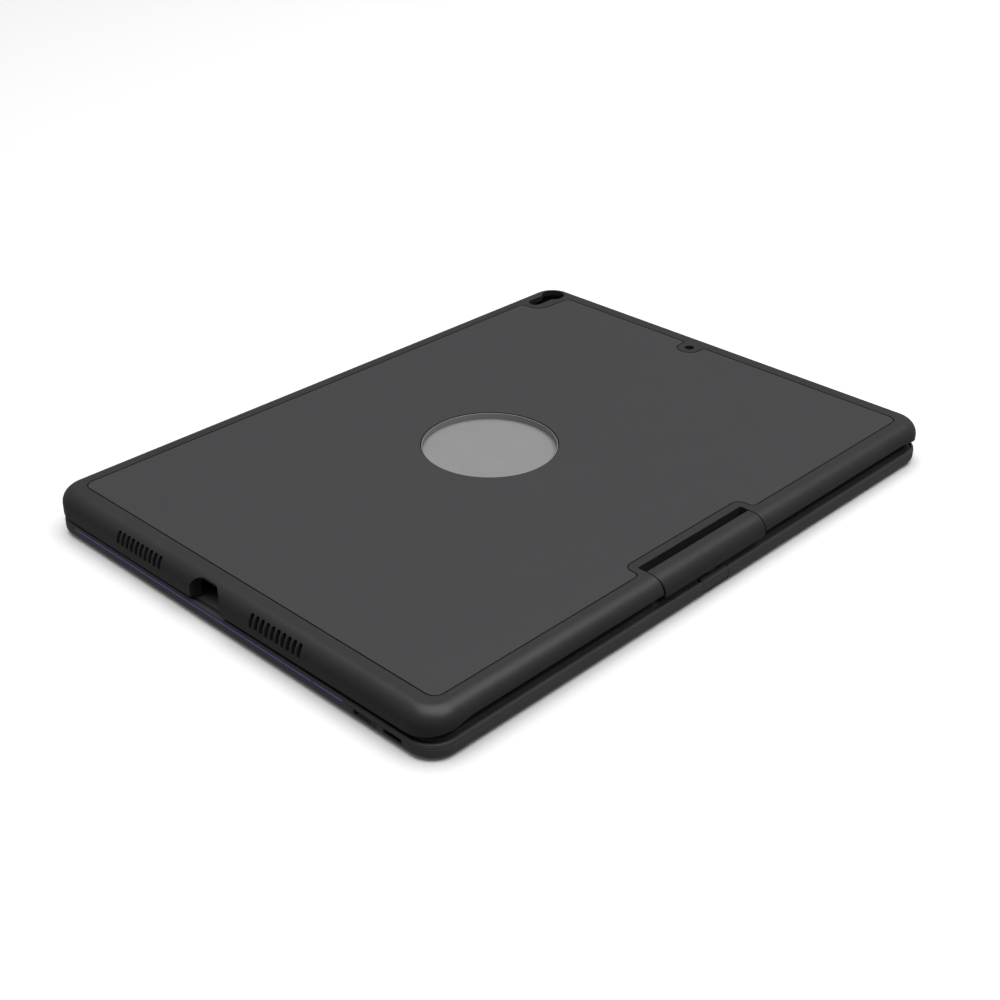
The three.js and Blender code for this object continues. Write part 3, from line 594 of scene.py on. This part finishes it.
    def build_shell(self) -> Object:
        """Rim shell: a slab with a quarter-round rim, less its bay, recess and openings."""
        (left, front, bottom), (right, rear, top) = self.shell_span
        profile = np.concatenate([
            round_edge(self.foot_round, bottom, False, 4),
            round_edge(self.round, top, True, 14),
        ])
        shell = make_object("lid_rim_shell", slab((left, right, front, rear), self.corner, profile, 12))
        bay_profile = np.array([
            (self.lip, bottom - 1),
            (self.lip, self.lip_top),
            (0.0, self.lip_top),
            (0.0, self.shoulder),
            (0.3, self.shoulder + 0.7),
            (1.0, self.ceiling),
        ])
        camera_x, camera_y, camera_radius = self.camera
        neck_x, neck_half = self.camera_neck
        microphone_x, microphone_y, microphone_radius = self.microphone
        neck = rectangle(camera_x, neck_x, camera_y - neck_half, camera_y + neck_half, neck_half - 0.1)
        carve(shell, [
            slab(self.bay, self.bay_corner, bay_profile),
            prism(self.panel_outline(self.seam), self.recess_floor, top + 1),
            prism(circle(0, self.tablet_y, self.window_radius, 128), self.ceiling - 1, top + 1),
            prism(circle(camera_x, camera_y, camera_radius), self.ceiling - 1, top + 1),
            prism(neck, self.ceiling - 1, top + 1),
            prism(circle(microphone_x, microphone_y, microphone_radius, 32), self.ceiling - 1, top + 1),
            *self.rim_openings(),
            *self.hinge_room(),
        ])
        soften(shell, 0.05)
        return dress(shell, RIM, self.body, "lid_shell")

    def build_panel(self) -> Object:
        """Inlaid panel: its outline carried up to the lid's top, less the window."""
        top = self.shell_span[1][2]
        panel = make_object("lid_inlay_panel", prism(self.panel_outline(0.0), 16.25, top))
        carve(panel, [prism(circle(0, self.tablet_y, self.window_radius, 128), 15, top + 1)])
        soften(panel, 0.05)
        return dress(panel, PANEL, self.body, "lid_panel")

    def build_window(self) -> Object:
        """Grey film with a thin collar that stands inside the window, as one turned profile."""
        low, high = node_span("window_lens")
        radius = (high[0] - low[0]) / 2
        profile = np.array([
            (0.0, low[2]),
            (0.0, low[2] + 0.2),
            (self.collar_inset, low[2] + 0.2),
            (self.collar_inset, high[2] - 0.06),
            (self.collar_inset + 0.08, high[2]),
            (self.collar_inset + 0.17, high[2]),
            (self.collar_inset + 0.25, high[2] - 0.06),
            (self.collar_inset + 0.25, low[2] + 0.3),
            (self.collar_inset + 0.33, low[2] + 0.2),
        ])
        cup = slab((low[0], high[0], low[1], high[1]), radius - 0.01, profile, 32)
        film = make_object("window_grey_film", cup)
        soften(film, 0)
        return dress(film, WINDOW_FILM, self.body, "window_lens")

    def build_lining(self) -> Object:
        """Felt sheet on the bay's ceiling, cut out at the window, camera and microphone."""
        low, high = node_span("lid_lining")
        profile = np.concatenate([round_edge(0.2, low[2], False, 3), round_edge(0.1, high[2], True, 2)])
        box = (low[0], high[0], low[1], high[1])
        felt = make_object("felt_lining", slab(box, self.bay_corner, profile))
        below, above = low[2] - 1, high[2] + 1
        microphone_x, microphone_y, microphone_radius = self.microphone
        carve(felt, [
            prism(circle(0, self.tablet_y, 27.2, 96), below, above),
            prism(rectangle(-130, -104, -100, -80.0, 2.5), below, above),
            prism(circle(microphone_x, microphone_y, microphone_radius + 1.2, 32), below, above),
        ])
        soften(felt, 0)
        return dress(felt, FELT, self.body, "lid_lining")

    def build_trim(self) -> Object:
        """Strip over the hinge leaves: a rounded bar, cut back at the hinge slot."""
        low, high = node_span("lid_rear_trim")
        outline = rectangle(low[0], high[0], low[1], high[1], 1.2)
        trim = make_object("rear_trim_strip", prism(outline, low[2], high[2]))
        x0, x1 = self.cover_span[0][0] - 1.4, self.cover_span[1][0] + 1.4
        carve(trim, [prism(rectangle(x0, x1, 84.8, 90, 0.8, 4), low[2] - 1, high[2] + 1)])
        soften(trim, 0.25)
        return dress(trim, RIM, self.body, "lid_rear_trim")

    def build_bumpers(self) -> None:
        """Two soft strips on the front lip, each a slab with rounded edges."""
        for side in ("left", "right"):
            node = f"lid_bumper_{side}"
            low, high = node_span(node)
            profile = np.concatenate([round_edge(0.2, low[2], False, 4), [[0.0, high[2]]]])
            pad = make_object(f"soft_bumper_{side}", slab((low[0], high[0], low[1], high[1]), 0.49, profile))
            soften(pad, 0)
            dress(pad, RUBBER, self.body, node)

    def build(self) -> None:
        """Make every piece of the lid that has a surface of its own."""
        self.build_shell()
        self.build_panel()
        self.build_window()
        self.build_lining()
        self.build_trim()
        self.build_bumpers()


# ------------------------------------------------------------------ hinge
@dataclass
class Hinge:
    """The hinge block's moulded cover, flush with the lid's rim."""

    body: str = "hinge_block"
    round: float = 5.5
    wall: float = 1.0
    slant: float = 0.7
    shaft_hole: float = 1.4

    def section(self, inset: float, bottom: float) -> Array:
        """Section of the cover in y and z: a quarter round between a flat top and an upright rear."""
        low, high = node_span("hinge_cover")
        front = low[1] + inset
        rear = node_span("lid_shell")[1][1] - inset
        top = high[2] - inset
        return filleted([
            (front, bottom, 0.3),
            (rear, bottom, 0.5 if inset == 0 else 0.3),
            (rear, top, self.round - inset),
            (front, top, 0.45),
        ], 14)

    def build(self) -> None:
        """Make the cover: its section carried along x, hollowed from below."""
        low, high = node_span("hinge_cover")
        cover = make_object("hinge_block_cover", prism(self.section(0.0, low[2]), low[0], high[0], Along.X))
        inner = prism(self.section(self.wall, low[2] - 2), low[0] + self.wall, high[0] - self.wall, Along.X)
        shafts = prism(circle(*HINGE_AXIS, self.shaft_hole, 24), low[0] - 1, high[0] + 1, Along.X)
        slant = np.array([
            (high[0] + 0.05, high[2] + 1),
            (high[0] - 0.05, high[2] - 0.6),
            (high[0] - self.slant, low[2] + 2),
            (high[0] - self.slant, low[2] - 1),
            (high[0] + 1, low[2] - 1),
            (high[0] + 1, high[2] + 1),
        ])
        carve(cover, [inner, shafts, prism(slant, low[1] - 1, high[1] + 1, Along.Y)])
        soften(cover, 0.22, 3)
        dress(cover, RIM, self.body, "hinge_cover")


# ------------------------------------------------------------------ keyboard base
@dataclass
class Base:
    """The keyboard base: upper frame, bottom cover, bearing block, strips, switch and feet."""

    body: str = "base"
    corner: float = 9.5
    wall: float = 2.0
    floor_top: float = 1.7
    frame_underside: float = 5.3
    bottom_round: float = 2.2
    parting_step: float = 0.14
    well: Span = (-121.0, 121.0, -27.5, 73.5)
    swivel_y: float = 90.5
    swivel_bore: tuple[float, float] = (2.5, 3.8)
    rim_groove: tuple[float, float, float] = (1.05, 2.3, 5.4)
    openings: tuple[Span, ...] = ((62.6, 72.9, 0.3, 2.65), (75.6, 83.5, 0.5, 2.55))
    opening_top: float = 4.52
    screw_points: tuple[tuple[float, float], ...] = ((-118, -86), (118, -86), (118, 90), (-118, 90))
    frame_span: tuple[Array, Array] = field(default_factory=lambda: node_span("base_top_frame"))
    cover_span: tuple[Array, Array] = field(default_factory=lambda: node_span("bottom_cover"))

    def plan(self, inset: float = 0.0) -> Span:
        """Lowest x, highest x, lowest y and highest y of the base, pulled in by an inset."""
        low, high = self.frame_span
        return low[0] + inset, high[0] - inset, low[1] + inset, high[1] - inset

    def shared_cuts(self, floor: float) -> list[Surface]:
        """Cutters that both shells need: the bearing notch and the grooves of the light strips."""
        block_low, block_high = node_span("swivel_bearing_block")
        notch = rectangle(block_low[0] - 0.15, block_high[0] + 0.15, block_low[1] - 0.3, 99, 0.1, 3)
        grooves = []
        for node in ("light_strip_long", "light_strip_short"):
            low, high = node_span(node)
            groove = rectangle(low[1] - 0.1, high[1] + 0.1, low[2], high[2], 0.1, 2)
            grooves.append(prism(groove, low[0], low[0] + 3, Along.X))
        return [prism(notch, floor, 9), Surface.together(grooves)]

    def build_frame(self) -> Object:
        """Upper frame: a slab with a grooved rim, hollow below, with the key well."""
        low, high = self.frame_span
        parting = self.cover_span[1][2]
        groove_out, groove_in, groove_floor = self.rim_groove
        profile = np.array([
            (0.0, parting),
            (0.0, 5.1),
            (0.1, 5.6),
            (0.25, 6.0),
            (0.45, 6.2),
            (groove_out - 0.1, 6.28),
            (groove_out, groove_floor),
            (groove_in, groove_floor),
            (groove_in + 0.2, 6.5),
            (4.0, high[2]),
        ])
        shell = make_object("palm_rest_frame", slab(self.plan(), self.corner, profile, 12))
        inner = self.wall + 0.5
        hollow = rectangle(*self.plan(inner), self.corner - inner)
        carve(shell, [
            prism(hollow, parting - 1, self.frame_underside),
            prism(rectangle(*self.well, 3.0), parting - 1, high[2] + 1),
            *self.shared_cuts(parting - 1),
        ])
        soften(shell, 0.18)
        return dress(shell, BASE_PLASTIC, self.body, "base_top_frame")

    def build_cover(self) -> Object:
        """Bottom cover: a tray with a round lower edge, its side openings and screw wells."""
        low, high = self.cover_span
        step = self.parting_step
        rim = [(0.0, high[2] - 0.25), (step, high[2] - 0.2), (step, high[2])]
        profile = np.concatenate([round_edge(self.bottom_round, low[2], False, 10), rim])
        tray = make_object("bottom_cover_tray", slab(self.plan(), self.corner, profile, 12))
        hollow = rectangle(*self.plan(self.wall), self.corner - self.wall)
        right = high[0]
        wells = [prism(circle(x, y, 2.5, 32), low[2] - 1, 1.55) for x, y in self.screw_points]
        carve(tray, [
            prism(hollow, self.floor_top, high[2] + 1),
            *self.shared_cuts(self.floor_top),
            Surface.together([
                prism(rectangle(y0, y1, floor, self.opening_top, turn, 4), right - 3.1, right + 2, Along.X)
                for y0, y1, turn, floor in self.openings
            ]),
            Surface.together(wells),
        ])
        soften(tray, 0.14)
        return dress(tray, BASE_PLASTIC, self.body, "bottom_cover")

    def build_bearing(self) -> Object:
        """Bearing block in the rear rim: its section carried along x, bored for the post."""
        low, high = node_span("swivel_bearing_block")
        bore, counterbore = self.swivel_bore
        section = filleted([
            (low[1], low[2], 0.2),
            (high[1] - 0.5, low[2], 0.3),
            (high[1], 3.1, 0.8),
            (high[1], 6.1, 0.3),
            (high[1] - 2.4, 6.5, 0.5),
            (high[1] - 4.0, high[2], 0.5),
            (low[1], high[2], 0.2),
        ], 6)
        block = make_object("swivel_bearing", prism(section, low[0], high[0], Along.X))
        carve(block, [
            prism(circle(0, self.swivel_y, bore, 40), 0, high[2] + 1),
            prism(circle(0, self.swivel_y, counterbore, 40), 0, 3.3),
        ])
        soften(block, 0.12)
        return dress(block, BASE_PLASTIC, self.body, "swivel_bearing_block")

    def build_strips(self) -> None:
        """Light strips in the right rim: thin bars with a rounded outer face."""
        for label in ("long", "short"):
            node = f"light_strip_{label}"
            low, high = node_span(node)
            section = rectangle(low[0], high[0], low[2], high[2], 0.2, 4)
            strip = make_object(f"violet_strip_{label}", prism(section, low[1], high[1], Along.Y))
            soften(strip, 0)
            dress(strip, STRIP, self.body, node)

    def build_feet(self) -> None:
        """Four rubber feet: discs whose lower edge is a quarter round."""
        for number in range(1, 5):
            node = f"foot_{number}"
            low, high = node_span(node)
            radius = (high[0] - low[0]) / 2
            profile = np.concatenate([round_edge(0.35, low[2], False, 5), [[0.0, high[2]]]])
            box = (low[0], high[0], low[1], high[1])
            foot = make_object(f"rubber_foot_{number}", slab(box, radius - 0.01, profile, 14))
            soften(foot, 0)
            dress(foot, RUBBER, self.body, node)

    def build_screws(self) -> None:
        """Four cover screws: a rounded head with a cross recess."""
        for number, (x, y) in enumerate(self.screw_points, start=1):
            head_profile = np.concatenate([round_edge(0.35, 0.95, False, 4), [[0.0, 1.5]]])
            head = slab((x - 2.2, x + 2.2, y - 2.2, y + 2.2), 2.19, head_profile, 8)
            screw = make_object(f"cover_screw_head_{number}", head)
            arms = [
                prism(rectangle(x - long, x + long, y - wide, y + wide, 0.15, 3), 0.5, 1.35)
                for long, wide in ((1.25, 0.28), (0.28, 1.25))
            ]
            carve(screw, arms)
            soften(screw, 0.05)
            dress(screw, DARK_STEEL, self.body, f"cover_screw_{number}")

    def build_socket(self) -> Object:
        """Charging socket: a folded steel shell with rounded corners, hollowed at its mouth."""
        low, high = node_span("usb_socket")
        shell = make_object(
            "charging_socket",
            prism(rectangle(low[1], high[1], low[2], high[2], 0.5, 4), low[0], high[0], Along.X),
        )
        mouth = rectangle(low[1] + 0.3, high[1] - 0.3, low[2] + 0.28, high[2] - 0.28, 0.3, 3)
        carve(shell, [prism(mouth, low[0] + 0.8, high[0] + 1, Along.X)])
        soften(shell, 0.05)
        return dress(shell, DARK_STEEL, self.body, "usb_socket")

    def build_deck(self) -> Object:
        """Key deck: a plate with one rounded hole under each key cap."""
        low, high = node_span("key_deck")
        outline = rectangle(low[0], high[0], low[1], high[1], 1.5, 4)
        deck = make_object("key_deck_plate", prism(outline, low[2], high[2]))
        holes = [
            prism(rectangle(x0 - 0.3, x1 + 0.3, y0 - 0.3, y1 + 0.3, 1.3, 4), low[2] - 1, high[2] + 1)
            for caps in KeyLayout().groups().values()
            for x0, x1, y0, y1 in caps
        ]
        carve(deck, [Surface.together(holes)])
        soften(deck, 0.1, 1)
        return dress(deck, BASE_PLASTIC, self.body, "key_deck")

    def build_switch(self) -> Object:
        """Power switch knob: fine ribs on the first part of its outer face, plain on the rest.

        The face is pulled in by depth * (1 - cos a) / 2, where a runs through one full turn a rib.
        """
        low, high = node_span("power_switch")
        ribs, pitch, depth, first = 6, 0.85, 0.34, 0.2
        y = low[1] + first + np.linspace(0, ribs * pitch, ribs * 16 + 1)
        turn = np.linspace(0, 2 * np.pi * ribs, len(y))
        ribbed = np.stack([high[0] - depth * (1 - np.cos(turn)) / 2, y], axis=1)
        plain = np.array([[high[0], high[1]], [low[0], high[1]], [low[0], low[1]], [high[0], low[1]]])
        knob = make_object("power_switch_knob", prism(np.concatenate([ribbed, plain]), low[2], high[2]))
        soften(knob, 0.03, 1)
        return dress(knob, KEY_PLASTIC, "power_switch", "power_switch")

    def build(self) -> None:
        """Make every piece of the base that has a surface of its own."""
        self.build_frame()
        self.build_cover()
        self.build_bearing()
        self.build_deck()
        self.build_strips()
        self.build_feet()
        self.build_screws()
        self.build_socket()
        self.build_switch()


# ------------------------------------------------------------------ keys
@dataclass(frozen=True)
class KeyLayout:
    """Where each key cap lies: six rows on a fixed pitch, in key units."""

    unit: float = 16.5
    row: float = 17.2
    function_row: float = 12.8
    gap: float = 2.2
    rear: float = 72.4
    row_units: float = 14.5

    def caps_of(self, rear: float, depth: float, widths: list[float]) -> list[Span]:
        """Caps of one row, from the left: each spans its share of the row, less half a gap a side."""
        ends = (np.cumsum([0.0, *widths]) - self.row_units / 2) * self.unit
        half = self.gap / 2
        return [
            (left + half, right - half, rear - depth + half, rear - half)
            for left, right in zip(ends[:-1], ends[1:])
        ]

    def groups(self) -> dict[str, list[Span]]:
        """Caps of every piece that moves on its own, by node name."""
        rears = [self.rear, *(self.rear - self.function_row - self.row * index for index in range(5))]
        bottom = self.caps_of(rears[5], self.row, [1, 1, 1, 1.25, 5, 1.25, 1, 1, 1, 1])
        left, column, right = bottom[7:]
        middle = (column[2] + column[3]) / 2
        half = self.gap / 2
        return {
            "function_keys": self.caps_of(rears[0], self.function_row, [self.row_units / 14] * 14),
            "number_keys": self.caps_of(rears[1], self.row, [1] * 13 + [1.5]),
            "upper_letter_keys": self.caps_of(rears[2], self.row, [1.5] + [1] * 13),
            "home_letter_keys": self.caps_of(rears[3], self.row, [1.75] + [1] * 11 + [1.75]),
            "lower_letter_keys": self.caps_of(rears[4], self.row, [2.25] + [1] * 10 + [2.25]),
            "left_modifier_keys": bottom[:4],
            "space_bar": [bottom[4]],
            "right_modifier_keys": bottom[5:7],
            "arrow_left_key": [left],
            "arrow_up_key": [(column[0], column[1], middle + half, column[3])],
            "arrow_down_key": [(column[0], column[1], column[2], middle - half)],
            "arrow_right_key": [right],
        }


@dataclass
class Keyboard:
    """The key caps: low blocks with soft edges and a shallow dish."""

    layout: KeyLayout = KeyLayout()
    corner: float = 1.5
    skirt: float = 4.3
    edge: float = 0.4
    dish: float = 0.09

    def cap(self, cap: Span, top: float) -> Surface:
        """One cap: upright sides, a quarter-round edge, and a top that sinks towards the middle."""
        x0, x1, y0, y1 = cap
        rise = round_edge(self.edge, top, True, 5)
        inward = np.array([1.1, 1.9, 2.8])
        sink = top - self.dish * np.array([0.35, 0.8, 1.0])
        profile = np.concatenate([[[0.0, self.skirt]], rise, np.stack([inward, sink], axis=1)])
        return slab((x0, x1, y0, y1), self.corner, profile, 5)

    def build(self) -> None:
        """Make the caps of each moving group as one piece."""
        for node, caps in self.layout.groups().items():
            top = node_span(node)[1][2]
            piece = make_object(f"{node}_caps", Surface.together([self.cap(cap, top) for cap in caps]))
            soften(piece, 0)
            dress(piece, KEY_PLASTIC, node, node)


# ------------------------------------------------------------------ studio
@dataclass
class Studio:
    """Plain pale floor, soft light and the camera."""

    eye: tuple[float, float, float] = (367.39, 353.51, 290.30)
    azimuth: float = 134.126
    elevation: float = 29.962
    lens: float = 57.45
    floor_size: float = 14.0
    world_strength: float = 0.22
    floor_grey: float = 0.92

    def floor(self) -> None:
        """A flat pale floor just below the feet, which throws no light back on the case."""
        reach = self.floor_size / 2 / MM
        outline = rectangle(-reach, reach, -reach, reach, 10, 2)
        ground = make_object("studio_floor", prism(outline, -10.0, -0.02))
        material = bpy.data.materials.new("studio_floor")
        material.use_nodes = True
        shader = material.node_tree.nodes["Principled BSDF"]
        shader.inputs["Base Color"].default_value = (self.floor_grey, self.floor_grey, self.floor_grey, 1.0)
        shader.inputs["Roughness"].default_value = 0.85
        shader.inputs["Specular IOR Level"].default_value = 0.1
        ground.data.materials.append(material)
        ground.visible_diffuse = False
        ground.visible_glossy = False

    def soft_box(self, name: str, place: tuple[float, float, float], size: float, power: float) -> None:
        """A square area light that looks at the object's middle.

        Args:
            name: the light's name.
            place: its position in metres.
            size: its side in metres.
            power: its power in watts.
        """
        light = bpy.data.lights.new(name, "AREA")
        light.size = size
        light.energy = power
        lamp = bpy.data.objects.new(name, light)
        lamp.location = place
        lamp.rotation_mode = "QUATERNION"
        lamp.rotation_quaternion = (-Vector(place)).to_track_quat("-Z", "Y")
        bpy.context.scene.collection.objects.link(lamp)

    def camera(self) -> None:
        """The camera: it stands at the eye and looks along its azimuth and elevation."""
        turn, rise = np.radians([self.azimuth, self.elevation])
        back = Vector((np.sin(turn) * np.cos(rise), -np.cos(turn) * np.cos(rise), np.sin(rise)))
        data = bpy.data.cameras.new("camera")
        data.sensor_width = 36.0
        data.lens = self.lens
        data.clip_start = 0.01
        data.clip_end = 50.0
        viewer = bpy.data.objects.new("camera", data)
        viewer.location = Vector(self.eye) * MM
        viewer.rotation_mode = "QUATERNION"
        viewer.rotation_quaternion = (-back).to_track_quat("-Z", "Y")
        bpy.context.scene.collection.objects.link(viewer)
        bpy.context.scene.camera = viewer

    def build(self) -> None:
        """Set up the floor, the camera, the surrounding light and the soft boxes."""
        self.camera()
        self.floor()
        world = bpy.data.worlds.new("studio")
        bpy.context.scene.world = world
        world.use_nodes = True
        backdrop = world.node_tree.nodes["Background"]
        backdrop.inputs["Color"].default_value = (1.0, 1.0, 1.0, 1.0)
        backdrop.inputs["Strength"].default_value = self.world_strength
        bpy.context.scene.view_settings.view_transform = "Standard"
        self.soft_box("overhead", (-0.2, 0.3, 3.0), 3.6, 166.0)
        self.soft_box("rear_side", (-0.6, 1.3, 2.3), 1.0, 8.0)


def dress_frame_nodes() -> None:
    """Give each frame node that still shows the finish of its own material slot."""
    for part in frame["record"]["subparts"]:
        node = frame["nodes"][part["node"]]
        material = FINISHES[part["material_slot"]].material()
        node.data.materials.clear()
        node.data.materials.append(material)


def main() -> None:
    """Build the studio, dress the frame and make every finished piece."""
    logging.basicConfig(level=logging.INFO, format="%(name)s: %(message)s")
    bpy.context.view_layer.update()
    Studio().build()
    dress_frame_nodes()
    for assembly in (Lid(), Hinge(), Base(), Keyboard()):
        LOG.info("building %s", type(assembly).__name__)
        assembly.build()
    bpy.context.view_layer.update()


if __name__ == "__main__":
    main()
